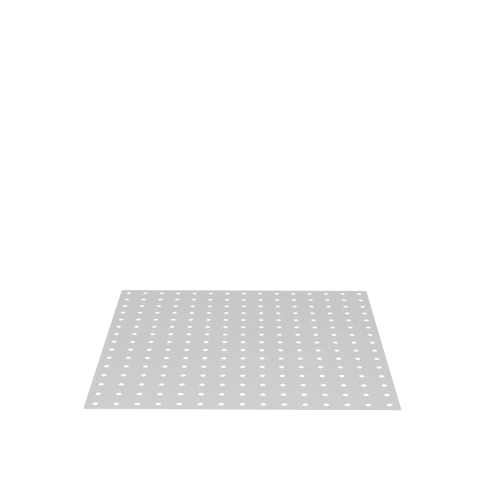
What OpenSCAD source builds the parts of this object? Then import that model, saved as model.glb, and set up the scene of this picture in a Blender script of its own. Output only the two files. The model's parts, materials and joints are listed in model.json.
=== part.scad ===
// Drilled aluminium plate
//
// A flat rectangle of rolled sheet with a regular grid of round through-holes for bolts.
// The plate is laid out in square cells one pitch wide, with a hole in the middle of each cell.
// So the outer holes stand half a pitch from the edge, and plates laid side by side carry the grid on.
// The outer edges and both mouths of every hole are deburred.
//
// Units are millimetres. The plate lies flat on Z = 0, with its middle over the origin.

/* [Sheet] */
// Length of the plate, along X
plate_length = 600; // [200:10:1000]
// Width of the plate, along Y
plate_width = 600; // [200:10:1000]
// Thickness of the sheet, along Z
sheet_thickness = 1; // [0.8:0.1:6]
// Deburred chamfer along the outer edges, on both faces
edge_chamfer = 0.2; // [0.05:0.05:0.35]

/* [Holes] */
// Distance from one hole's centre to the next, along X and along Y
hole_pitch = 40; // [30:1:100]
// Diameter of the drilled bore
hole_diameter = 11; // [4:0.5:24]
// Deburred chamfer round each mouth of a hole, on both faces
mouth_chamfer = 0.25; // [0.05:0.05:0.35]

/* [Hidden] */

// Segments in a preview circle
$fn = 64;

// Bare mill-finish aluminium
aluminium = [0.80, 0.79, 0.80];

// Whole cells that fit along each side, which is the number of holes there
holes_along_x = floor(plate_length / hole_pitch);
holes_along_y = floor(plate_width / hole_pitch);

// How far a cutter or a trimmed bar runs past the face that it crosses
overrun = 2;

// Place of hole number i in a row of n, with the row centred on zero
function place_in_row(i, n) = (i - (n - 1) / 2) * hole_pitch;

// Cross-section of the sheet across a side of the given span, with its four corners chamfered
module sheet_section(span) {
    inner = span / 2 - edge_chamfer;
    outer = span / 2;
    low = edge_chamfer;
    high = sheet_thickness - edge_chamfer;
    polygon([
        [-inner, 0], [inner, 0], [outer, low], [outer, high],
        [inner, sheet_thickness], [-inner, sheet_thickness], [-outer, high], [-outer, low]
    ]);
}

// A bar of the sheet's cross-section, running along Y and longer than the run that it has to cover
module sheet_bar(span, run) {
    rotate([90, 0, 0])
        linear_extrude(height = run + 2 * overrun, center = true)
            sheet_section(span);
}

// The undrilled sheet: where the bar along Y and the bar along X cross, so all four sides are chamfered
module sheet_blank() {
    intersection() {
        sheet_bar(plate_length, plate_width);
        rotate([0, 0, 90]) sheet_bar(plate_width, plate_length);
    }
}

// Cutter for one hole: the bore, opening at 45 degrees into both faces
module hole_cutter() {
    bore = hole_diameter / 2;
    flare = bore + mouth_chamfer + overrun;
    rotate_extrude()
        polygon([
            [0, -overrun], [flare, -overrun], [bore, mouth_chamfer],
            [bore, sheet_thickness - mouth_chamfer], [flare, sheet_thickness + overrun],
            [0, sheet_thickness + overrun]
        ]);
}

// Cutters for the whole grid
module hole_grid() {
    for (i = [0 : holes_along_x - 1], j = [0 : holes_along_y - 1])
        translate([place_in_row(i, holes_along_x), place_in_row(j, holes_along_y), 0])
            hole_cutter();
}

module drilled_plate() {
    color(aluminium)
        difference() {
            sheet_blank();
            hole_grid();
        }
}

drilled_plate();
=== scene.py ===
# %% [markdown]
# # A drilled aluminium plate
# The object is one flat square of bare aluminium sheet with a regular grid of round holes. Its
# construction already exists as an exact solid, so no size of the plate is decided here. The lesson
# reads the sizes, rebuilds the surface with four-sided faces that shade well, and gives it the finish
# of rolled metal. The first step loads the imported model, whose volume is measured beside the
# finished plate at the end.

# %% Load the imported model
import json
import math

import bmesh
import bpy
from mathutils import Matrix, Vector


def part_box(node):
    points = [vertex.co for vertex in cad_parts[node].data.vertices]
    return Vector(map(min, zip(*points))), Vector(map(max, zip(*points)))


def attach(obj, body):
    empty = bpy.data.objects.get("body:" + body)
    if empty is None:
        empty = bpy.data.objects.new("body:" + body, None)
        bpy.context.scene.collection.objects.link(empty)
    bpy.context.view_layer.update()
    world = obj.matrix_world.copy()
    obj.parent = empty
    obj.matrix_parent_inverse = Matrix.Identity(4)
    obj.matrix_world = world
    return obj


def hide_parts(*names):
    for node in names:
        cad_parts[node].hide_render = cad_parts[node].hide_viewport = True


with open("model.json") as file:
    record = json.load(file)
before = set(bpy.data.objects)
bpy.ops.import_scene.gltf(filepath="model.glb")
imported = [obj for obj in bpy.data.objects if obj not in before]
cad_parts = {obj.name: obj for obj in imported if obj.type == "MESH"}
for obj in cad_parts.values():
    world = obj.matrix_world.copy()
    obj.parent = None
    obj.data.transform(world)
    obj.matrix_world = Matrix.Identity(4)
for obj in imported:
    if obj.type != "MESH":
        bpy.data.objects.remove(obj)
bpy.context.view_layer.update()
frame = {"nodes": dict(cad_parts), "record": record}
PLATE_NODE = "drilled_plate"
cad_plate = frame["nodes"][PLATE_NODE]
print("The packed plate has", len(cad_plate.data.polygons), "faces")

# %% [markdown]
# ## The sizes that drive everything
# A plate like this has few sizes: its sides, its thickness, the pitch of the grid, the bore, and
# two small deburring chamfers. They could be typed in again here, but then a later change would have
# to be made twice, so they are all read from the frame. The box gives the sides and the thickness, and
# a stated hole gives the bore and, from its length, the chamfer at its mouths. The corner hole stands
# half a pitch from the edge, which gives the pitch. The chamfer of the outline shows where the flat
# top face ends, a little short of the side. Lengths are in metres, and MM is one millimetre.

# %% Read the sizes from the frame
MM = 0.001
low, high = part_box(PLATE_NODE)
plate_length, plate_width, sheet_thickness = high - low

mounts = {mount["name"]: mount for mount in frame["record"]["mounts"]}
bore = mounts["centre_hole"]["dims"]
hole_radius = bore["r_mm"] * MM
mouth_chamfer = (sheet_thickness - bore["length_mm"] * MM) / 2
mouth_radius = hole_radius + mouth_chamfer

corner_hole = Vector(mounts["front_left_corner_hole"]["pos_m"])
hole_pitch = 2 * (corner_hole.x - low.x)
columns = round(plate_length / hole_pitch)
rows = round(plate_width / hole_pitch)

SAME_HEIGHT = 0.01 * MM
points = [vertex.co for vertex in cad_plate.data.vertices]
top_points = [point for point in points if high.z - point.z < SAME_HEIGHT]
edge_chamfer = high.x - max(point.x for point in top_points)

print(f"Sheet {plate_length / MM:.1f} x {plate_width / MM:.1f} x {sheet_thickness / MM:.2f} mm")
print(f"{columns} x {rows} holes of {2 * hole_radius / MM:.1f} mm at {hole_pitch / MM:.1f} mm")
print(f"Chamfers: hole mouths {mouth_chamfer / MM:.2f} mm, outline {edge_chamfer / MM:.2f} mm")

# %% [markdown]
# ## Helpers for node trees
# The plate and its finish are both node trees, one of geometry and several of shading. Adding a
# node takes the same steps every time: make it, name it, set its options, and fill each input with
# a value or a wire. A few small helpers do that, so the cells below can read like a recipe. Many
# nodes have hidden sockets that share a name with a shown one, so the helper looks for the socket
# that is switched on.

# %% Define the node helpers
def shown(sockets, name):
    """The switched-on socket of that name."""
    return next(socket for socket in sockets if socket.name == name and socket.enabled)


def add(tree, kind, title, inputs=None, **options):
    """Adds a node, sets its options, and fills its inputs, by name or number, with values or wires."""
    node = tree.nodes.new(kind)
    node.label = title
    for name, value in options.items():
        setattr(node, name, value)
    for name, value in (inputs or {}).items():
        socket = shown(node.inputs, name) if isinstance(name, str) else node.inputs[name]
        if isinstance(value, bpy.types.NodeSocket):
            tree.links.new(value, socket)
        else:
            socket.default_value = value
    return node


def named_inputs(tree, sockets):
    """Gives a tree its named inputs and returns the outputs of its Group Input node by name."""
    for name, kind in sockets:
        tree.interface.new_socket(name, in_out="INPUT", socket_type=kind)
    return tree.nodes.new("NodeGroupInput").outputs


def named_output(tree, name, kind):
    """Gives a tree its one named output."""
    tree.interface.new_socket(name, in_out="OUTPUT", socket_type=kind)


print("Helpers ready: shown, add, named_inputs, named_output")

# %% [markdown]
# ## Sums on numbers and vectors
# Both kinds of tree do sums with the same two nodes, Math and Vector Math. A vector here is a place
# or a direction, so the helpers are named for what they give: a length, the parts of a vector, or
# a vector made longer.

# %% Define the sums
def math_node(tree, operation, title, *terms):
    """One sum on numbers, as an output socket."""
    node = add(tree, "ShaderNodeMath", title, dict(enumerate(terms)), operation=operation)
    return node.outputs["Value"]


def vector_math(tree, operation, title, *terms):
    """One sum on vectors that gives a vector, as an output socket."""
    node = add(tree, "ShaderNodeVectorMath", title, dict(enumerate(terms)), operation=operation)
    return node.outputs["Vector"]


def scaled(tree, vector, factor, title):
    """A vector times a number."""
    inputs = {0: vector, "Scale": factor}
    return add(tree, "ShaderNodeVectorMath", title, inputs, operation="SCALE").outputs["Vector"]


def length_of(tree, vector, title):
    """The length of a vector."""
    return add(tree, "ShaderNodeVectorMath", title, {0: vector}, operation="LENGTH").outputs["Value"]


def parts_of(tree, vector, title):
    """The X, Y and Z of a vector, by name."""
    return add(tree, "ShaderNodeSeparateXYZ", title, {"Vector": vector}).outputs


def vector_of(tree, title, **parts):
    """A vector put together from its X, Y and Z. A part left out is zero."""
    return add(tree, "ShaderNodeCombineXYZ", title, parts).outputs["Vector"]


print("Sums ready: math_node, vector_math, scaled, length_of, parts_of, vector_of")

# %% [markdown]
# ## Steps on geometry
# Four steps come back again and again while the plate is built. A tree can ask for the place of each
# point. It can keep a value on the points before they move, which is what the Capture Attribute node
# does. It can pull new faces out of edges, and it can put points in new places.

# %% Define the steps on geometry
def here(tree, title):
    """The place of each point."""
    return add(tree, "GeometryNodeInputPosition", title).outputs["Position"]


def remembered(tree, geometry, kind, name, value):
    """The geometry with a value kept on its points, and that value, to use after they move."""
    node = add(tree, "GeometryNodeCaptureAttribute", name)
    node.capture_items.new(kind, name)
    tree.links.new(geometry, node.inputs["Geometry"])
    tree.links.new(value, node.inputs[name])
    return node.outputs["Geometry"], node.outputs[name]


def pulled_edges(tree, mesh, title, edges=True):
    """New faces on the chosen edges. They have no size until the edges marked Top are moved."""
    inputs = {"Mesh": mesh, "Selection": edges, "Offset Scale": 0.0}
    node = add(tree, "GeometryNodeExtrudeMesh", title, inputs, mode="EDGES")
    return node.outputs["Mesh"], node.outputs["Top"]


def moved(tree, geometry, place, title, chosen=True):
    """The geometry with its chosen points put in new places."""
    inputs = {"Geometry": geometry, "Selection": chosen, "Position": place}
    return add(tree, "GeometryNodeSetPosition", title, inputs).outputs["Geometry"]


print("Steps ready: here, remembered, pulled_edges, moved")

# %% [markdown]
# ## One cell of the face
# The plate is laid out in square cells with a hole in the middle of each, so one cell, repeated,
# gives the whole face. A cutting modifier could drill the holes, but it leaves long thin triangles
# that shade badly. Here the mouth of the hole is a ring of points. A copy of the ring is pushed out
# to the square, with a band of four-sided faces between the two. Each point also remembers which way
# the axis of its hole lies, because the wall of the hole will need that later. The number of sides is
# a multiple of eight, so the corners of the square get points of their own.

# %% Define one cell
HOLE_SIDES = 48


def drilled_cell(tree, given):
    """A square cell with its hole left out, and the way from its points to the hole's axis."""
    mouth = math_node(tree, "ADD", "Mouth radius", given["Hole Radius"], given["Mouth Chamfer"])
    ring = add(tree, "GeometryNodeMeshCircle", "Mouth of one hole",
               {"Vertices": given["Hole Sides"], "Radius": mouth}, fill_type="NONE").outputs["Mesh"]
    band, outer = pulled_edges(tree, ring, "Band of faces")

    point = here(tree, "Point of the ring")
    reach = parts_of(tree, vector_math(tree, "ABSOLUTE", "Reach", point), "Reach along X and Y")
    longer = math_node(tree, "MAXIMUM", "Longer reach", reach["X"], reach["Y"])
    half_pitch = math_node(tree, "MULTIPLY", "Half the pitch", given["Pitch"], 0.5)
    stretch = math_node(tree, "DIVIDE", "Out to the square", half_pitch, longer)
    square = scaled(tree, point, stretch, "Point of the square")
    cell = moved(tree, band, square, "Square cell", outer)

    away = vector_math(tree, "NORMALIZE", "Away from the axis", point)
    towards = scaled(tree, away, -1.0, "Towards the axis")
    return remembered(tree, cell, "VECTOR", "Way to the axis", towards)


print(f"One cell: {HOLE_SIDES} faces round a mouth {2 * mouth_radius / MM:.1f} mm wide")

# %% [markdown]
# ## Cells side by side
# On the real plate the holes are drilled in rows, one pitch apart. Two Array modifiers could repeat the
# cell in the same way. A grid of points does it in one step, with a copy of the cell at each hole
# centre. Copies like these are only instances, which share one mesh and can't be edited one by one, so
# they are made real. A weld then joins neighbours, and leaves one sheet of faces that is open at every
# mouth and round the outline.

# %% Define the sheet of cells
WELD = 0.001 * MM


def hole_centres(tree, given):
    """The grid of points that the holes stand on."""
    span = {}
    for axis, count in (("X", "Columns"), ("Y", "Rows")):
        steps = math_node(tree, "SUBTRACT", f"Steps along {axis}", given[count], 1.0)
        span[axis] = math_node(tree, "MULTIPLY", f"Span along {axis}", steps, given["Pitch"])
    grid = add(tree, "GeometryNodeMeshGrid", "Hole centres", {
        "Size X": span["X"], "Size Y": span["Y"],
        "Vertices X": given["Columns"], "Vertices Y": given["Rows"],
    })
    return grid.outputs["Mesh"]


def welded(tree, geometry, title):
    """The geometry with points that meet made one."""
    node = add(tree, "GeometryNodeMergeByDistance", title, {"Geometry": geometry, "Distance": WELD})
    return node.outputs["Geometry"]


def sheet_of_cells(tree, given, cell):
    """A copy of the cell at each hole centre, all in one mesh."""
    copies = add(tree, "GeometryNodeInstanceOnPoints", "A cell on each centre",
                 {"Points": hole_centres(tree, given), "Instance": cell}).outputs["Instances"]
    real = add(tree, "GeometryNodeRealizeInstances", "Cells made real", {"Geometry": copies})
    return welded(tree, real.outputs["Geometry"], "Weld the cells")


print(f"Sheet: {columns * rows} cells, welded within {WELD / MM:.3f} mm")

# %% [markdown]
# ## Finding the outline
# The outline is where the plate was cut from a larger sheet. Its points are the outermost ones of the
# cells. They could be listed by number, but the list would change with every size, so each point tells
# by its reach whether it stands on a side. It then remembers which way leads off the plate, and at a
# corner that way leads off two sides at once. The sheet still lies on Z = 0 here, so no way leads up
# or down.

# %% Define finding the outline
def outline_found(tree, given, sheet):
    """The sheet with the way off the plate kept on its points. Inside the outline it is zero."""
    along_x = math_node(tree, "MULTIPLY", "Cells along X", given["Columns"], given["Pitch"])
    along_y = math_node(tree, "MULTIPLY", "Cells along Y", given["Rows"], given["Pitch"])
    cells = vector_of(tree, "Sides of all cells", X=along_x, Y=along_y)
    corner = scaled(tree, cells, 0.5, "Corner of all cells")
    point = here(tree, "Point of the sheet")
    reach = vector_math(tree, "ABSOLUTE", "Reach", point)
    past = vector_math(tree, "SUBTRACT", "Past the cells", reach, corner)
    nearly = vector_math(tree, "ADD", "Past or nearly there", past, (WELD, WELD, WELD))
    side = vector_math(tree, "SIGN", "Past or short", nearly)
    on_side = vector_math(tree, "MAXIMUM", "On a side or not", side, (0.0, 0.0, 0.0))
    away = vector_math(tree, "SIGN", "Away from the middle", point)
    outward = vector_math(tree, "MULTIPLY", "Off the plate", away, on_side)
    return remembered(tree, sheet, "VECTOR", "Way off the plate", outward)


print(f"All cells: {columns * hole_pitch / MM:.1f} x {rows * hole_pitch / MM:.1f} mm")

# %% [markdown]
# ## Fitting the outline
# The flat of the face ends a little short of the side, where the chamfer of the outline begins. So the
# points on a side are moved to where the flat ends, and all others stay. A selection for each side
# would do that in four steps. But along each axis the way off the plate is 1 or 0, apart from its sign,
# so plain sums can pick the right place for every point at once. Last, the face is lifted to the top
# of the plate.

# %% Define the top face
def top_face(tree, given, sheet, outward):
    """The sheet with its outline moved to the end of the flat, lifted to the top of the plate."""
    sides = vector_of(tree, "Sides of the plate", X=given["Length"], Y=given["Width"])
    chamfer = vector_of(tree, "Chamfer", X=given["Edge Chamfer"], Y=given["Edge Chamfer"])
    outer = scaled(tree, sides, 0.5, "Corner of the plate")
    corner = vector_math(tree, "SUBTRACT", "Corner of the flat", outer, chamfer)
    on_side = vector_math(tree, "ABSOLUTE", "On a side", outward)
    inside = vector_math(tree, "SUBTRACT", "Not on a side", (1.0, 1.0, 1.0), on_side)
    stays = vector_math(tree, "MULTIPLY", "Stays", here(tree, "Point of the sheet"), inside)
    goes = vector_math(tree, "MULTIPLY", "Goes to the end of the flat", corner, outward)
    place = vector_math(tree, "ADD", "Place on the flat", stays, goes)
    fitted = moved(tree, sheet, place, "Fit the outline")
    lift = vector_of(tree, "Up to the top", Z=given["Thickness"])
    top = add(tree, "GeometryNodeTransform", "Top face", {"Geometry": fitted, "Translation": lift})
    return top.outputs["Geometry"]


flat_length = plate_length - 2 * edge_chamfer
flat_width = plate_width - 2 * edge_chamfer
print(f"Flat of the face: {flat_length / MM:.1f} x {flat_width / MM:.1f} mm")

# %% [markdown]
# ## Into the gaps
# Wherever the sheet was cut, at the outline and in every hole, the cut has the same section: a small
# chamfer, a short upright wall, and a second chamfer. To make it, each point on an open edge needs to
# know two things: which way its gap lies, and how deep the chamfer is there. The gap of a mouth is its
# hole, and the gap of the outline is the space round the plate. Holes and outline could be cut in steps
# of their own, but with these two values the same steps serve both.

# %% Define the ways into the gaps
HALF_A_SIDE = 0.5


def either(tree, kind, title, test, yes, no):
    """One value where a test holds, and another where it doesn't."""
    inputs = {"Switch": test, "True": yes, "False": no}
    return add(tree, "GeometryNodeSwitch", title, inputs, input_type=kind).outputs["Output"]


def ways_into_gaps(tree, given, face, towards_axis, outward):
    """The face with two values on its points: the way into the gap, and the chamfer there."""
    sides = length_of(tree, outward, "Sides there")
    is_outline = math_node(tree, "GREATER_THAN", "On the outline", sides, HALF_A_SIDE)
    way = either(tree, "VECTOR", "Way", is_outline, outward, towards_axis)
    depth = either(tree, "FLOAT", "Depth", is_outline, given["Edge Chamfer"], given["Mouth Chamfer"])
    face, way = remembered(tree, face, "VECTOR", "Way into the gap", way)
    face, depth = remembered(tree, face, "FLOAT", "Depth of the chamfer", depth)
    return face, way, depth


print(f"Section of a hole: chamfer {mouth_chamfer / MM:.2f} mm, wall {bore['length_mm']:.2f} mm")

# %% [markdown]
# ## Pulling the cuts down
# A Bevel modifier could make the chamfers, but every cut already starts at an open edge of the top
# face, which is an edge with only one face on it. So those edges are simply pulled down three times:
# in to the wall, straight down, and out again.

# %% Define the cuts
def with_cuts(tree, given, face, way, depth):
    """The face with a chamfer, a wall and a chamfer hanging from each of its open edges."""
    count = add(tree, "GeometryNodeInputMeshEdgeNeighbors", "Faces at the edge").outputs["Face Count"]
    edges = add(tree, "FunctionNodeCompare", "Open edge", {"A": count, "B": 1},
                data_type="INT", operation="EQUAL").outputs["Result"]
    point = here(tree, "Point of the edge")
    step = scaled(tree, way, depth, "Step into the gap")
    back = scaled(tree, step, -1.0, "Step back")
    upper = math_node(tree, "SUBTRACT", "Top of the wall", given["Thickness"], depth)
    shape = face
    for title, slide, level in (
        ("Upper chamfer", step, upper),
        ("Upright wall", (0.0, 0.0, 0.0), depth),
        ("Lower chamfer", back, 0.0),
    ):
        plan = parts_of(tree, vector_math(tree, "ADD", f"{title}: slide", point, slide), "Plan")
        place = vector_of(tree, f"{title}: place", X=plan["X"], Y=plan["Y"], Z=level)
        shape, edges = pulled_edges(tree, shape, title, edges)
        shape = moved(tree, shape, place, f"{title}: move", edges)
    return shape


print("Cuts: a chamfer, a wall and a chamfer on every open edge")

# %% [markdown]
# ## A flat map of the skin
# Other programs can't run material nodes, so a finish that leaves Blender has to be baked into
# pictures, which a flat map lays on the piece. An automatic unwrap would give each of the two faces
# only half of the picture. The plan of the plate makes a sharper map. The bottom shares the spots of
# the top, because both carry the same pattern, and the wall of each hole is folded flat into the empty
# middle of the hole, drawn wider than it is so that it gets some pixels.

# %% Define the flat map
MAP_NAME = "OFBake"
MAP_MARGIN = 6 * MM
MAP_MIDDLE = (0.5, 0.5, 0.0)
WALL_STRETCH = 4.0


def folded_flat(tree, given, seat, way):
    """The place of each point with the walls folded flat, from its seat on the top face."""
    height = parts_of(tree, here(tree, "Point of the skin"), "Height")["Z"]
    drop = math_node(tree, "SUBTRACT", "Below the top", given["Thickness"], height)
    shift = math_node(tree, "MULTIPLY", "Drawn wide", drop, WALL_STRETCH)
    return vector_math(tree, "ADD", "Folded flat", seat, scaled(tree, way, shift, "Into the gap"))


def mapped(tree, given, shape, place, title):
    """The geometry with its flat map: places on the plan, fitted into the unit square."""
    sheet = {}
    for axis, name in (("X", "Length"), ("Y", "Width")):
        sheet[axis] = math_node(tree, "ADD", f"Sheet along {axis}", given[name], 2 * MAP_MARGIN)
    share = vector_math(tree, "DIVIDE", "Share of the sheet", place,
                        vector_of(tree, "Size of the sheet", **sheet, Z=1.0))
    spot = vector_math(tree, "ADD", "Spot in the map", share, MAP_MIDDLE)
    node = add(tree, "GeometryNodeStoreNamedAttribute", title,
               {"Geometry": shape, "Name": MAP_NAME, "Value": spot},
               data_type="FLOAT2", domain="CORNER")
    return node.outputs["Geometry"]


print(f"Flat map: {(plate_length + 2 * MAP_MARGIN) / MM:.0f} mm of plan across")

# %% [markdown]
# ## Turning the face over
# Both faces of a plate are alike. A Solidify modifier could give both at once, but it knows nothing of
# the chamfers. So the bottom is the top face again, lowered and turned over. The turn matters: a face
# shows its outside on one side only, and the bottom has to show it downwards.

# %% Define the bottom face
def bottom_face(tree, given, face):
    """The top face turned over and lowered to the bottom."""
    lift = vector_of(tree, "Thickness", Z=given["Thickness"])
    drop = scaled(tree, lift, -1.0, "Down to the bottom")
    lowered = add(tree, "GeometryNodeTransform", "Bottom face", {"Geometry": face, "Translation": drop})
    flipped = add(tree, "GeometryNodeFlipFaces", "Face down", {"Mesh": lowered.outputs["Geometry"]})
    return flipped.outputs["Mesh"]


def joined(tree, title, *parts):
    """Several geometries as one."""
    node = add(tree, "GeometryNodeJoinGeometry", title)
    for part in parts:
        tree.links.new(part, node.inputs["Geometry"])
    return node.outputs["Geometry"]


print(f"Bottom face: {sheet_thickness / MM:.2f} mm below the top")

# %% [markdown]
# ## Smooth, crisp, rolled and cut
# A drilled bore is round, though the mesh has flat sides. More sides would help, but shading the skin
# smooth costs nothing, as long as it stays crisp wherever it bends by more than thirty degrees. Then
# each face gets its material by the way it points: what lies flat came from the rolling mill, and the
# rest was cut by a tool.

# %% Define shading and materials of the skin
SHARP_ANGLE = math.radians(30)
LIES_FLAT = 0.99


def shaded(tree, shape):
    """Smooth round the bores, with crisp edges wherever the surface bends sharply."""
    smooth = add(tree, "GeometryNodeSetShadeSmooth", "Round bores",
                 {"Geometry": shape, "Shade Smooth": True}, domain="FACE").outputs["Geometry"]
    angle = add(tree, "GeometryNodeInputMeshEdgeAngle", "Bend at the edge").outputs["Unsigned Angle"]
    is_sharp = math_node(tree, "GREATER_THAN", "Sharp edge", angle, SHARP_ANGLE)
    crisp = add(tree, "GeometryNodeSetShadeSmooth", "Crisp edges",
                {"Geometry": smooth, "Selection": is_sharp, "Shade Smooth": False}, domain="EDGE")
    return crisp.outputs["Geometry"]


def finished(tree, given, shape):
    """Rolled metal on the faces that lie flat, and cut metal on the rest."""
    normal = add(tree, "GeometryNodeInputNormal", "Face direction").outputs["Normal"]
    height = parts_of(tree, vector_math(tree, "ABSOLUTE", "Either way", normal), "Up or down")["Z"]
    is_cut = math_node(tree, "LESS_THAN", "Cut by a tool", height, LIES_FLAT)
    rolled = add(tree, "GeometryNodeSetMaterial", "Rolled faces",
                 {"Geometry": shape, "Material": given["Rolled Face"]}).outputs["Geometry"]
    cut = add(tree, "GeometryNodeSetMaterial", "Cut edges",
              {"Geometry": rolled, "Selection": is_cut, "Material": given["Cut Edge"]})
    return cut.outputs["Geometry"]


print(f"Edges stay crisp above {math.degrees(SHARP_ANGLE):.0f} degrees")

# %% [markdown]
# ## The whole tree
# Everything above is now put in order in one tree, with a named input for each size and material, so
# that the same tree could make a plate of another size or pitch. Before the cuts are pulled down, each
# point remembers its seat on the top face, for the flat map. A last weld closes the skin.

# %% Build the plate tree
def drilled_plate_tree():
    """Geometry tree: the whole plate as one closed skin, standing on Z = 0."""
    tree = bpy.data.node_groups.new("Drilled plate", "GeometryNodeTree")
    tree.is_modifier = True
    given = named_inputs(tree, [
        ("Length", "NodeSocketFloat"), ("Width", "NodeSocketFloat"), ("Thickness", "NodeSocketFloat"),
        ("Pitch", "NodeSocketFloat"), ("Columns", "NodeSocketInt"), ("Rows", "NodeSocketInt"),
        ("Hole Radius", "NodeSocketFloat"), ("Hole Sides", "NodeSocketInt"),
        ("Mouth Chamfer", "NodeSocketFloat"), ("Edge Chamfer", "NodeSocketFloat"),
        ("Rolled Face", "NodeSocketMaterial"), ("Cut Edge", "NodeSocketMaterial"),
    ])
    named_output(tree, "Plate", "NodeSocketGeometry")

    cell, towards_axis = drilled_cell(tree, given)
    sheet, outward = outline_found(tree, given, sheet_of_cells(tree, given, cell))
    face = top_face(tree, given, sheet, outward)
    edged, way, depth = ways_into_gaps(tree, given, face, towards_axis, outward)
    edged, seat = remembered(tree, edged, "VECTOR", "Seat on the face", here(tree, "Seat"))
    hung = with_cuts(tree, given, edged, way, depth)
    hung = mapped(tree, given, hung, folded_flat(tree, given, seat, way), "Map of top and cuts")
    bottom = bottom_face(tree, given, face)
    bottom = mapped(tree, given, bottom, here(tree, "Place on the bottom"), "Map of the bottom")

    skin = welded(tree, joined(tree, "Top, cuts and bottom", hung, bottom), "Close the skin")
    add(tree, "NodeGroupOutput", "Result", {"Plate": finished(tree, given, shaded(tree, skin))})
    return tree


plate_tree = drilled_plate_tree()
print("Drilled plate tree:", len(plate_tree.nodes), "nodes")

# %% [markdown]
# ## Rolling grain
# Bare sheet comes from the rolling mill with fine streaks along the rolling direction. Cut edges show
# lines too, only finer, and running along the cut. So the streaks are a shader group with named inputs,
# built once and placed in both materials with sizes of their own. Places come to it in metres, so a
# streak can be given its real width and length. A painted image would do the same, but only at one
# scale.

# %% Build the rolling grain
def rolling_grain_group():
    """Shader group: streaks of a given size. Streaks is about 0 to 1, with 0.5 as its middle."""
    tree = bpy.data.node_groups.new("Rolling grain", "ShaderNodeTree")
    given = named_inputs(tree, [("Place", "NodeSocketVector"), ("Streak Size", "NodeSocketVector")])
    named_output(tree, "Streaks", "NodeSocketFloat")
    place = vector_math(tree, "DIVIDE", "Place in streaks", given["Place"], given["Streak Size"])
    noise = add(tree, "ShaderNodeTexNoise", "Streaks",
                {"Vector": place, "Scale": 1.0, "Detail": 3.0, "Roughness": 0.6}).outputs["Fac"]
    add(tree, "NodeGroupOutput", "Result", {"Streaks": noise})
    return tree


def streaks(tree, place, size, title):
    """The rolling grain group, placed in a material with its own streak size."""
    inputs = {"Place": place, "Streak Size": size}
    return add(tree, "ShaderNodeGroup", title, inputs, node_tree=rolling_grain).outputs["Streaks"]


rolling_grain = rolling_grain_group()
print("Shader group:", rolling_grain.name, "with", len(rolling_grain.nodes), "nodes")

# %% [markdown]
# ## Handling haze
# Handling and stacking leave the sheen of bare sheet a little uneven, in soft milky patches without a
# direction. They keep a satin face from looking like one flat colour. Both materials have them, at
# different sizes, so this is a shared group as well. Plain noise would turn all of the metal half milky.
# Here it is cut off softly at both ends, so that some of the metal stays clear and some is fully milky.

# %% Build the handling haze
HAZE_STARTS = 0.35
HAZE_IS_FULL = 0.75


def handling_haze_group():
    """Shader group: soft milky patches. Haze is 0 on clear metal and 1 in the middle of a patch."""
    tree = bpy.data.node_groups.new("Handling haze", "ShaderNodeTree")
    given = named_inputs(tree, [("Place", "NodeSocketVector"), ("Patch Size", "NodeSocketFloat")])
    named_output(tree, "Haze", "NodeSocketFloat")
    scale = math_node(tree, "DIVIDE", "Patches to a metre", 1.0, given["Patch Size"])
    noise = add(tree, "ShaderNodeTexNoise", "Patches",
                {"Vector": given["Place"], "Scale": scale, "Detail": 4.0, "Roughness": 0.55})
    patch = add(tree, "ShaderNodeMapRange", "Soft patches", {
        "Value": noise.outputs["Fac"], "From Min": HAZE_STARTS, "From Max": HAZE_IS_FULL,
    }, interpolation_type="SMOOTHSTEP")
    add(tree, "NodeGroupOutput", "Result", {"Haze": patch.outputs["Result"]})
    return tree


def haze(tree, place, patch_size, title):
    """The handling haze group, placed in a material with its own patch size."""
    inputs = {"Place": place, "Patch Size": patch_size}
    return add(tree, "ShaderNodeGroup", title, inputs, node_tree=handling_haze).outputs["Haze"]


handling_haze = handling_haze_group()
print("Shader group:", handling_haze.name, "with", len(handling_haze.nodes), "nodes")

# %% [markdown]
# ## Spreading, fading and mixing
# What comes out of a group runs from about 0 to 1. A material spreads it over a span of its own, such
# as from the least to the greatest roughness, lets it fade out with distance, or uses it to decide how
# much of one tone is mixed into another.

# %% Define spreading, fading and mixing
def spread(tree, value, span, title, lowest=0.0, highest=1.0):
    """Spreads a value that runs from its lowest to its highest over a span."""
    node = add(tree, "ShaderNodeMapRange", title, {
        "Value": value, "From Min": lowest, "From Max": highest, "To Min": span[0], "To Max": span[1],
    })
    return node.outputs["Result"]


def faded(tree, value, start, end, title):
    """1 up to the start, 0 from the end on, and soft between them."""
    node = add(tree, "ShaderNodeMapRange", title, {
        "Value": value, "From Min": start, "From Max": end, "To Min": 1.0, "To Max": 0.0,
    }, interpolation_type="SMOOTHSTEP")
    return node.outputs["Result"]


def mixed(tree, kind, share, first, second, title):
    """A share of the second in the first, for numbers (FLOAT) or colours (RGBA)."""
    inputs = {"Factor": share, "A": first, "B": second}
    return shown(add(tree, "ShaderNodeMix", title, inputs, data_type=kind).outputs, "Result")


print("Helpers ready: spread, faded, mixed")

# %% [markdown]
# ## Hairlines
# Sliding sheet on sheet leaves hairline scratches, which help the eye to tell bare metal from grey
# card. They could be drawn as thin meshes, but they have no height worth modelling. Instead, a texture
# of random cells gives each cell a point and some chances, always the same ones in the same place.
# About a third of the cells draw one straight line through their point, at an angle of their own.

# %% Define the hairlines
HAIRLINE_CELL = 34 * MM
HAIRLINE_LENGTH = 26 * MM
HAIRLINE_WIDTH = 0.22 * MM
HAIRLINE_SHARE = 0.35


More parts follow.
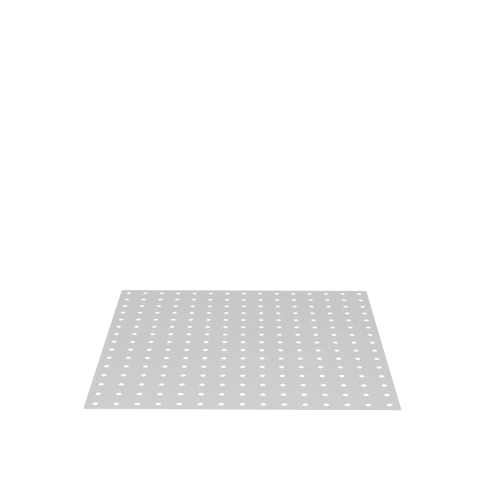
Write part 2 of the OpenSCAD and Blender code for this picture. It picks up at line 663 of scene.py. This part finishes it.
def hairlines(tree, place):
    """1 on a hairline scratch and 0 off it."""
    cells = add(tree, "ShaderNodeTexVoronoi", "One chance in each cell",
                {"Vector": place, "Scale": 1.0 / HAIRLINE_CELL}, voronoi_dimensions="2D").outputs
    chances = add(tree, "ShaderNodeSeparateColor", "Chances", {"Color": cells["Color"]}).outputs
    angle = math_node(tree, "MULTIPLY", "Angle of the line", chances["Red"], math.pi)
    offset = vector_math(tree, "SUBTRACT", "From the cell's point", place, cells["Position"])
    turned = add(tree, "ShaderNodeVectorRotate", "Along the line",
                 {"Vector": offset, "Angle": angle}, rotation_type="Z_AXIS").outputs["Vector"]
    along = parts_of(tree, vector_math(tree, "ABSOLUTE", "Either way", turned), "Along and across")
    thin = faded(tree, along["Y"], 0.0, HAIRLINE_WIDTH / 2, "Thin")
    short = faded(tree, along["X"], HAIRLINE_LENGTH / 4, HAIRLINE_LENGTH / 2, "Fading at its ends")
    line = math_node(tree, "MULTIPLY", "Line", thin, short)
    drawn = math_node(tree, "LESS_THAN", "Drawn or not", chances["Green"], HAIRLINE_SHARE)
    return math_node(tree, "MULTIPLY", "Hairlines", line, drawn)


print(f"Hairlines {HAIRLINE_WIDTH / MM:.2f} mm wide and {HAIRLINE_LENGTH / MM:.0f} mm long")

# %% [markdown]
# ## Rubbed rims
# A deburring tool leaves a narrow brighter rim round each hole and along the edge. The mesh could carry
# a band of its own there, but a mask in the material fades out softly. The place is wrapped back into
# one cell of the grid, so a single distance from the axis serves every hole.

# %% Define the rims
RIM_WIDTH = 0.9 * MM


def rubbed_rims(tree, place):
    """1 at the rim of a hole or of the plate, fading out a little way into the face."""
    half = hole_pitch / 2
    first = (corner_hole.x, corner_hole.y, 0.0)
    from_first = vector_math(tree, "SUBTRACT", "From the corner hole", place, first)
    wrapped = vector_math(tree, "WRAP", "From the nearest hole", from_first, (half,) * 3, (-half,) * 3)
    flat = vector_math(tree, "MULTIPLY", "Plan only", wrapped, (1.0, 1.0, 0.0))
    from_axis = length_of(tree, flat, "From the axis")
    from_mouth = math_node(tree, "SUBTRACT", "From the mouth", from_axis, mouth_radius)

    corner = (plate_length / 2, plate_width / 2, 0.0)
    reach = vector_math(tree, "ABSOLUTE", "Reach", place)
    to_sides = vector_math(tree, "SUBTRACT", "To the sides", corner, reach)
    sides = parts_of(tree, to_sides, "To each side")
    from_side = math_node(tree, "MINIMUM", "From the nearest side", sides["X"], sides["Y"])
    nearest = math_node(tree, "MINIMUM", "From the nearest cut", from_mouth, from_side)
    return faded(tree, nearest, 0.0, RIM_WIDTH, "Rubbed rim")


print(f"Rims rubbed {RIM_WIDTH / MM:.1f} mm wide")

# %% [markdown]
# ## Marks of use
# A hand tool never rubs evenly, so small patches of haze break up the rims. Rims and hairlines then
# become one mask, which says how worn the metal is at each place. The hairlines stay fainter than the
# brightest rims, because they are shallower.

# %% Define the marks
RUBBED_PATCH = 9 * MM
RUBBED_SPAN = (0.35, 0.80)
HAIRLINE_STRENGTH = 0.6


def face_marks(tree, place):
    """Hairlines and rubbed rims together."""
    patches = haze(tree, place, RUBBED_PATCH, "Uneven rubbing")
    rubbing = spread(tree, patches, RUBBED_SPAN, "Rubbing")
    rims = math_node(tree, "MULTIPLY", "Uneven rims", rubbed_rims(tree, place), rubbing)
    lines = math_node(tree, "MULTIPLY", "Faint hairlines", hairlines(tree, place), HAIRLINE_STRENGTH)
    return math_node(tree, "MAXIMUM", "All marks", rims, lines)


print("Strength of rims:", RUBBED_SPAN, "and of hairlines:", HAIRLINE_STRENGTH)

# %% [markdown]
# ## Tone and sheen
# Two things vary on bare metal: its tone, by a little, and its roughness, which decides how sharp a
# reflection is. Streaks and haze together vary the tone, and haze alone varies the roughness. Noise
# keeps close to its middle value, so the streaks are spread out before they are used.

# %% Define tone and sheen
NOISE_LOWEST = 0.25
NOISE_HIGHEST = 0.75
HAZE_SHARE = 0.35


def tone_and_sheen(tree, place, tones, roughness, grain, patch_size):
    """The metal's colour and roughness, varied by streaks of a grain size and by patches of haze."""
    patches = haze(tree, place, patch_size, "Handling haze")
    grains = streaks(tree, place, grain, "Streaks of tone")
    lines = spread(tree, grains, (0.0, 1.0), "Streak share", NOISE_LOWEST, NOISE_HIGHEST)
    share = mixed(tree, "FLOAT", HAZE_SHARE, lines, patches, "Streaks with some haze")
    colour = mixed(tree, "RGBA", share, (*tones[0], 1.0), (*tones[1], 1.0), "Tone of the metal")
    return colour, spread(tree, patches, roughness, "Sheen")


print(f"Tone: {1 - HAZE_SHARE:.2f} from streaks and {HAZE_SHARE:.2f} from haze")

# %% [markdown]
# ## A bare metal
# Both finishes are the same aluminium, so one function makes either, with fine streaks as its relief.
# A polished metal brightens a lot where it is seen at a low angle. Rolled sheet does so much less,
# because fine pits scatter the light, so the Specular Tint, which sets the tone at low angles, stays
# below white.

# %% Define a bare metal
METAL = 1.0
LOW_ANGLE_TINT = (0.85, 0.85, 0.85, 1.0)
RUBBED_TONE = (0.660, 0.652, 0.656, 1.0)
RUBBED_ROUGHNESS = 0.30


def bare_metal(name, tones, roughness, grain, relief, relief_depth, patch_size, marks=None):
    """A bare aluminium. Grain and relief are streak sizes, and marks makes a mask of worn metal."""
    material = bpy.data.materials.new(name)
    material.use_nodes = True
    tree = material.node_tree
    tree.nodes.clear()
    place = add(tree, "ShaderNodeTexCoord", "Place on the plate").outputs["Object"]
    colour, dullness = tone_and_sheen(tree, place, tones, roughness, grain, patch_size)
    if marks:
        worn = marks(tree, place)
        colour = mixed(tree, "RGBA", worn, colour, RUBBED_TONE, "Brighter where rubbed")
        dullness = mixed(tree, "FLOAT", worn, dullness, RUBBED_ROUGHNESS, "Smoother where rubbed")

    ridges = streaks(tree, place, relief, "Streaks of relief")
    bump = add(tree, "ShaderNodeBump", "Fine lines",
               {"Strength": 1.0, "Distance": relief_depth, "Height": ridges})
    shader = add(tree, "ShaderNodeBsdfPrincipled", "Bare aluminium", {
        "Base Color": colour, "Metallic": METAL, "Specular Tint": LOW_ANGLE_TINT,
        "Roughness": dullness, "Normal": bump.outputs["Normal"],
    })
    add(tree, "ShaderNodeOutputMaterial", "Surface", {"Surface": shader.outputs["BSDF"]})
    return material


print(f"Worn metal: tone {RUBBED_TONE[0]:.2f}, roughness {RUBBED_ROUGHNESS:.2f}")

# %% [markdown]
# ## Two aluminium finishes
# The rolled face is satin. Its streaks are a few millimetres wide and run along the plate, from the
# viewer to the back, and through the sheet they don't change, so both faces carry the same ones. The
# cut edge is smoother, and its lines are finer and run along the cut. Its tones are set a little darker
# than the face's, as painted shade that stands for the shade inside the bores. All of it is kept faint,
# because from a metre or two away such a sheet looks like one even pale grey.

# %% Make the two materials
THROUGH_THE_SHEET = 1.0

rolled_face = bare_metal(
    "rolled_aluminium",
    tones=((0.556, 0.544, 0.550), (0.593, 0.581, 0.587)),
    roughness=(0.36, 0.50),
    grain=(2.5 * MM, 220 * MM, THROUGH_THE_SHEET),
    relief=(0.4 * MM, 60 * MM, THROUGH_THE_SHEET),
    relief_depth=0.008 * MM,
    patch_size=140 * MM,
    marks=face_marks,
)
# The cut edge's tones are darkened as painted shade, standing for the shade inside the bores.
cut_edge = bare_metal(
    "cut_aluminium",
    tones=((0.530, 0.522, 0.526), (0.590, 0.582, 0.586)),
    roughness=(0.26, 0.36),
    grain=(6 * MM, 6 * MM, 0.15 * MM),
    relief=(8 * MM, 8 * MM, 0.12 * MM),
    relief_depth=0.003 * MM,
    patch_size=20 * MM,
)
for material in (rolled_face, cut_edge):
    print("Material:", material.name, "with", len(material.node_tree.nodes), "nodes")

# %% [markdown]
# ## From tree to plain mesh
# A tree works inside a modifier. A modifier's inputs go by identifiers, not by names, so a short loop
# finds each one. The result is then turned into a plain mesh and the modifier removed, because a
# finished piece should be nothing but its own faces. The new mesh can carry a slot with no material in
# it, which is taken out.

# %% Define how a tree becomes a mesh
def without_empty_slots(mesh):
    """Takes out the material slots that hold nothing. The faces keep their materials."""
    for index in reversed(range(len(mesh.materials))):
        if mesh.materials[index] is None:
            mesh.materials.pop(index=index)
    return mesh


def made_by(tree, name, values):
    """An object with the plain mesh that a geometry tree makes from these values."""
    blank = bpy.data.meshes.new(name)
    made = bpy.data.objects.new(name, blank)
    bpy.context.scene.collection.objects.link(made)
    modifier = made.modifiers.new(tree.name, "NODES")
    modifier.node_group = tree
    for socket in tree.interface.items_tree:
        if socket.in_out == "INPUT":
            modifier[socket.identifier] = values[socket.name]
    view = bpy.context.evaluated_depsgraph_get()
    mesh = bpy.data.meshes.new_from_object(made.evaluated_get(view), depsgraph=view)
    made.modifiers.clear()
    made.data = without_empty_slots(mesh)
    bpy.data.meshes.remove(blank)
    mesh.name = name
    return made


print("Helpers ready: without_empty_slots, made_by")

# %% [markdown]
# ## The plate itself
# Now the tree gets the sizes that were read from the frame, and its two materials. One number isn't the
# frame's: how many sides a hole is drawn with. A bore could have hundreds, but there are so many bores
# that every side counts. Forty-eight look round from a hand's breadth away, and the plate stays light.

# %% Make the plate
plate = made_by(plate_tree, "aluminium_plate", {
    "Length": plate_length, "Width": plate_width, "Thickness": sheet_thickness,
    "Pitch": hole_pitch, "Columns": columns, "Rows": rows,
    "Hole Radius": hole_radius, "Hole Sides": HOLE_SIDES,
    "Mouth Chamfer": mouth_chamfer, "Edge Chamfer": edge_chamfer,
    "Rolled Face": rolled_face, "Cut Edge": cut_edge,
})
plate.data.calc_loop_triangles()
print("Plate:", len(plate.data.loop_triangles), "triangles in", len(plate.data.polygons), "faces")
print("Slots:", [material.name for material in plate.data.materials])
print("Maps:", [layer.name for layer in plate.data.uv_layers])

# %% [markdown]
# ## Is the skin closed?
# A gap in a skin is easy to miss by eye, so it is looked for by counting. A closed skin has two faces at
# every edge, and its volume is positive if the faces point outwards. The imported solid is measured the
# same way, so the two volumes can be compared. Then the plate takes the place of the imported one, which
# stays in the model for collisions but is no longer shown.

# %% Check the plate and put it in place
def volume_and_open_edges(mesh):
    """The enclosed volume, and the number of edges that don't have two faces."""
    shape = bmesh.new()
    shape.from_mesh(mesh)
    bmesh.ops.remove_doubles(shape, verts=shape.verts, dist=WELD)
    volume = shape.calc_volume(signed=True)
    open_edges = sum(len(edge.link_faces) != 2 for edge in shape.edges)
    shape.free()
    return volume, open_edges


for title, mesh in (("Dressed plate", plate.data), ("Packed plate", cad_plate.data)):
    volume, gaps = volume_and_open_edges(mesh)
    print(f"{title}: {volume / MM**3:.0f} cubic mm, {gaps} open edges")

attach(plate, "root")
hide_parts(PLATE_NODE)
print(plate.name, "stands for", PLATE_NODE)

# %% [markdown]
# ## What each ray sees of the floor
# The plate lies on plain white. A lit white floor always renders a little grey, so part of its white
# has to be its own glow, for the eye and for rays that metal or glass sends on. Seen from below the
# floor is clear, so the underside of the plate can be looked at. The underside lies so close to the
# floor that it would mirror nothing but its own shadow, so the floor is also clear to reflections that
# reach it within a millimetre. The Light Path node tells these rays apart.

# %% Define what each ray sees
CLOSE_REFLECTION = 1.0 * MM


def seen_directly(tree, ray):
    """1 for rays from the eye, from gloss and through glass, and 0 for the rest."""
    mirrored = math_node(tree, "MAXIMUM", "Eye or gloss", ray["Is Camera Ray"], ray["Is Glossy Ray"])
    return math_node(tree, "MAXIMUM", "Eye, gloss or glass", mirrored, ray["Is Transmission Ray"])


def see_through(tree, ray):
    """1 for rays from below and for reflections from close above, and 0 for the rest."""
    is_near = math_node(tree, "LESS_THAN", "From close by", ray["Ray Length"], CLOSE_REFLECTION)
    is_underside = math_node(tree, "MULTIPLY", "Underside's gloss", is_near, ray["Is Glossy Ray"])
    below = add(tree, "ShaderNodeNewGeometry", "Which side").outputs["Backfacing"]
    return math_node(tree, "MAXIMUM", "From below or close by", below, is_underside)


print(f"The floor is clear to reflections from within {CLOSE_REFLECTION / MM:.1f} mm")

# %% [markdown]
# ## The white of the floor
# Only part of the floor's white glows. The rest is ordinary diffuse white, which takes the light of the
# room and so keeps the plate's soft shadow. A floor of pure glow would show no shadow at all, and the
# plate would seem to float.

# %% Define the white of the floor
FLOOR_WHITE = (0.80, 0.80, 0.80, 1.0)
FLOOR_GLOW = 0.30


def floor_material():
    """White that glows a little for the eye and lets the underside of the plate be seen."""
    material = bpy.data.materials.new("white_floor")
    material.use_nodes = True
    tree = material.node_tree
    tree.nodes.clear()
    ray = add(tree, "ShaderNodeLightPath", "Kind of ray").outputs
    strength = math_node(tree, "MULTIPLY", "Glow for the eye", seen_directly(tree, ray), FLOOR_GLOW)
    white = add(tree, "ShaderNodeBsdfDiffuse", "Lit white", {"Color": FLOOR_WHITE}).outputs["BSDF"]
    glow = add(tree, "ShaderNodeEmission", "Own white", {"Strength": strength}).outputs["Emission"]
    above = add(tree, "ShaderNodeAddShader", "From above", {0: white, 1: glow}).outputs["Shader"]
    clear = add(tree, "ShaderNodeBsdfTransparent", "Clear").outputs["BSDF"]
    surface = add(tree, "ShaderNodeMixShader", "White or clear",
                  {"Fac": see_through(tree, ray), 1: above, 2: clear})
    add(tree, "ShaderNodeOutputMaterial", "Surface", {"Surface": surface.outputs["Shader"]})
    return material


print(f"Floor: white {FLOOR_WHITE[0]:.2f} with a glow of {FLOOR_GLOW:.2f}")

# %% [markdown]
# ## Laying the floor
# One large square is enough. It lies a hair's breadth under the plate, because two surfaces in the
# same place flicker, and it reaches so far that its edge never shows.

# %% Lay the floor
FLOOR_SIDE = 60.0
FLOOR_GAP = 0.2 * MM


def floor_mesh(side, height):
    """A square that faces up."""
    half = side / 2
    corners = [(x, y, height) for x, y in ((-half, -half), (half, -half), (half, half), (-half, half))]
    mesh = bpy.data.meshes.new("floor")
    mesh.from_pydata(corners, [], [(0, 1, 2, 3)])
    mesh.materials.append(floor_material())
    return mesh


floor = bpy.data.objects.new("floor", floor_mesh(FLOOR_SIDE, low.z - FLOOR_GAP))
bpy.context.scene.collection.objects.link(floor)
print(f"Floor {FLOOR_SIDE:.0f} m wide, {FLOOR_GAP / MM:.1f} mm under the plate")

# %% [markdown]
# ## A white room
# The light is a white room. The world is the same white on every side, at a strength of 1, so a
# colour renders about as it is written, and bare metal shows plain white in its gloss. A studio with
# dark gaps between its lamps would draw those gaps on the metal. The Standard view transform passes
# colours on to the picture as they are.

# %% Make the white room
WORLD_WHITE = (1.0, 1.0, 1.0, 1.0)
WORLD_LIGHT = 1.0


def white_world():
    """A room that is the same white on every side."""
    world = bpy.data.worlds.new("white_room")
    world.use_nodes = True
    tree = world.node_tree
    tree.nodes.clear()
    white = add(tree, "ShaderNodeBackground", "White",
                {"Color": WORLD_WHITE, "Strength": WORLD_LIGHT})
    add(tree, "ShaderNodeOutputWorld", "Room", {"Surface": white.outputs["Background"]})
    return world


scene = bpy.context.scene
scene.world = white_world()
scene.view_settings.view_transform = "Standard"
print("World:", scene.world.name, "at a strength of", WORLD_LIGHT)

# %% [markdown]
# ## One soft lamp
# One large soft lamp hangs behind the plate. Satin metal shows a lamp as a broad weak sheen, strongest
# where the eye looks down on it more steeply, so the plate pales softly towards the viewer. A small lamp
# would show as a bright spot. This one is weak, because the room already gives nearly all of the light.

# %% Hang the lamp
LAMP_SIDE = 1.6
LAMP_POWER = 3.0
LAMP_ELEVATION = 60.0
LAMP_DISTANCE = 1.9


def soft_lamp(name, side, power, elevation, distance):
    """A square lamp behind the plate that faces its middle. Its elevation is in degrees."""
    rise = math.radians(elevation)
    away = Vector((0.0, math.cos(rise), math.sin(rise)))
    data = bpy.data.lights.new(name, "AREA")
    data.size = side
    data.energy = power
    lamp = bpy.data.objects.new(name, data)
    lamp.location = away * distance
    lamp.rotation_euler = (-away).to_track_quat("-Z", "Y").to_euler()
    lamp.visible_camera = False
    bpy.context.scene.collection.objects.link(lamp)
    return lamp


lamp = soft_lamp("soft_lamp", LAMP_SIDE, LAMP_POWER, LAMP_ELEVATION, LAMP_DISTANCE)
print(f"Lamp: {LAMP_POWER:.0f} W, {LAMP_SIDE:.1f} m wide, {lamp.location.z:.2f} m above the floor")

# %% [markdown]
# ## The camera
# The picture was taken from the front, a little to the right of the middle, about two metres away
# and at less than half that height. The camera looks down by nineteen degrees, above the plate, so
# the plate lies in the lower half of the picture. Such a view can be found by eye. A regular grid of
# holes gives it more exactly, because every hole has to fall into its own place in the picture. Angles
# are in degrees. A camera that isn't turned looks straight down, and ninety degrees make it look level.

# %% Place the camera
LEVEL = 90.0
CAMERA_RIGHT = 11.3 * MM
CAMERA_BACK = 1976.6 * MM
CAMERA_UP = 913.9 * MM
CAMERA_DOWN_TILT = 18.990
CAMERA_LEFT_TURN = 0.526
FIELD_OF_VIEW = 27.01

camera_data = bpy.data.cameras.new("camera")
camera_data.sensor_fit = "HORIZONTAL"
camera_data.angle = math.radians(FIELD_OF_VIEW)
camera = bpy.data.objects.new("camera", camera_data)
camera.location = (CAMERA_RIGHT, -CAMERA_BACK, high.z + CAMERA_UP)
camera.rotation_euler = (math.radians(LEVEL - CAMERA_DOWN_TILT), 0.0, math.radians(CAMERA_LEFT_TURN))
scene.collection.objects.link(camera)
scene.camera = camera
print(f"Camera lens {camera_data.lens:.2f} mm")
